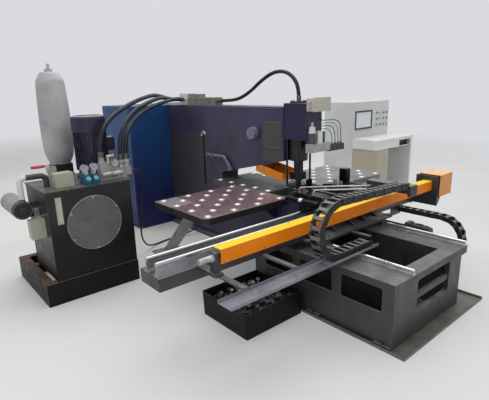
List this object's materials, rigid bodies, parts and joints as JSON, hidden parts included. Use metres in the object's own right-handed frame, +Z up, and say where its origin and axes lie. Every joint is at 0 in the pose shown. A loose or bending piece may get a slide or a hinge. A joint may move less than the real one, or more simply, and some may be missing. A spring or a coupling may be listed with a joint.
{
  "type": "cnc hydraulic plate punching machine",
  "caption": "Hydraulic plate punching machine: C-shaped press, ball tables, clamp carriage on a long beam, hydraulic power unit and console",
  "frame": {"origin": "on the floor under the punch axis, at the underside of the press frame's base", "axes": "+X along the carriage beam towards its motor, +Y from the die back through the throat of the press, +Z up"},
  "size_m": [5.9679, 4.523, 2.016],
  "materials": {
    "frame_paint": "worn semi-gloss purple-blue machine enamel",
    "head_paint": "purple machine enamel",
    "blue_paint": "semi-gloss blue enamel",
    "dark_paint": "satin charcoal enamel",
    "grey_paint": "satin grey enamel with oil and dust",
    "light_grey_paint": "light grey enamel",
    "beige_paint": "beige-white cabinet enamel",
    "orange_paint": "orange enamel, yellow on top",
    "green_paint": "dark green enamel",
    "rusty_sheet": "brown oiled sheet with surface rust",
    "bright_steel": "ground bearing steel",
    "dark_steel": "blackened machined steel, oily",
    "alloy": "extruded aluminium",
    "chrome_ball": "polished steel balls in pressed cups",
    "black_plastic": "black nylon chain links",
    "black_rubber": "black hydraulic hose cover",
    "clear_tube": "thin air tubes",
    "red_handle": "red dipped handle",
    "silver_grey": "matt silver-grey pressure vessel paint"
  },
  "bodies": {
    "machine": {"c_frame": "frame_paint", "side_pipes": "frame_paint", "rear_housing": "blue_paint", "head_block": "head_paint", "main_cylinder": "dark_steel", "stripper_frame": "dark_steel", "die": "dark_steel", "air_units": "light_grey_paint", "air_tubes": "clear_tube", "junction_box": "beige_paint", "top_valve_block": "alloy", "ball_table_left": "rusty_sheet", "ball_table_right": "light_grey_paint", "throat_table": "green_paint", "ball_units": "chrome_ball", "table_braces": "grey_paint", "throat_guard": "orange_paint", "bed": "grey_paint", "bed_bolts": "dark_steel", "y_rail_supports": "alloy", "y_rails": "bright_steel", "y_motor": "dark_paint", "drip_tray": "light_grey_paint", "slug_bin": "grey_paint", "slug_heap": "bright_steel", "unit_base": "dark_paint", "tank": "dark_paint", "tank_cover": "grey_paint", "accumulator": "silver_grey", "pump_motor": "head_paint", "side_motor": "grey_paint", "manifold": "bright_steel", "hose_a": "black_rubber", "hose_b": "black_rubber", "hose_c": "black_rubber", "top_hose": "black_rubber", "unit_cable": "black_rubber", "console_cabinet": "beige_paint", "console_desk": "beige_paint", "y_chain": "black_plastic"},
    "ram": {"punch_ram": "dark_steel"},
    "lever": {"valve_lever": "red_handle"},
    "y_screw_shaft": {"y_screw": "bright_steel"},
    "saddle": {"saddle": "grey_paint", "x_beam": "dark_paint", "x_rail_supports": "alloy", "x_rails": "bright_steel", "x_guard": "orange_paint", "x_drive_cover": "orange_paint", "x_drive_mounts": "grey_paint", "chain_trough": "light_grey_paint", "x_chain": "black_plastic"},
    "x_screw_shaft": {"x_screw": "bright_steel"},
    "carriage": {"carriage_plate": "dark_steel", "chain_arm": "grey_paint", "clamp_body_left": "dark_steel", "clamp_body_right": "dark_steel", "clamp_pipework": "bright_steel"},
    "jaw_left": {"clamp_jaw_left": "dark_steel"},
    "jaw_right": {"clamp_jaw_right": "dark_steel"}
  },
  "joints": [
    {"name": "punch_slide", "type": "slide", "parent": "machine", "child": "ram", "axis": [0, 0, -1], "range_m": [0, 0.036]},
    {"name": "valve_turn", "type": "hinge", "parent": "machine", "child": "lever", "pos_m": [-1.95, 1.1, 1.142], "axis": [0, 0, 1], "range_deg": [0, 90]},
    {"name": "y_slide", "type": "slide", "parent": "machine", "child": "saddle", "axis": [0, 1, 0], "range_m": [-0.64, 0], "deforming": ["y_chain"]},
    {"name": "y_screw_turn", "type": "hinge", "parent": "machine", "child": "y_screw_shaft", "pos_m": [0.434, -0.955, 0.505], "axis": [0, 1, 0], "range_deg": [-9216, 0]},
    {"name": "x_slide", "type": "slide", "parent": "saddle", "child": "carriage", "axis": [1, 0, 0], "range_m": [-1.5, 0], "deforming": ["x_chain"]},
    {"name": "x_screw_turn", "type": "hinge", "parent": "saddle", "child": "x_screw_shaft", "pos_m": [-1.64, -0.763, 0.742], "axis": [1, 0, 0], "range_deg": [-13500, 0]},
    {"name": "jaw_left_pivot", "type": "hinge", "parent": "carriage", "child": "jaw_left", "pos_m": [-0.24, -0.43, 0.822], "axis": [-1, 0, 0], "range_deg": [0, 4.8]},
    {"name": "jaw_right_pivot", "type": "hinge", "parent": "carriage", "child": "jaw_right", "pos_m": [0.23, -0.43, 0.822], "axis": [-1, 0, 0], "range_deg": [0, 4.8]}
  ],
  "couplings": [
    {"joint": "y_screw_turn", "follows": "y_slide", "rad_per_m": 251.33},
    {"joint": "x_screw_turn", "follows": "x_slide", "rad_per_m": 157.08}
  ]
}
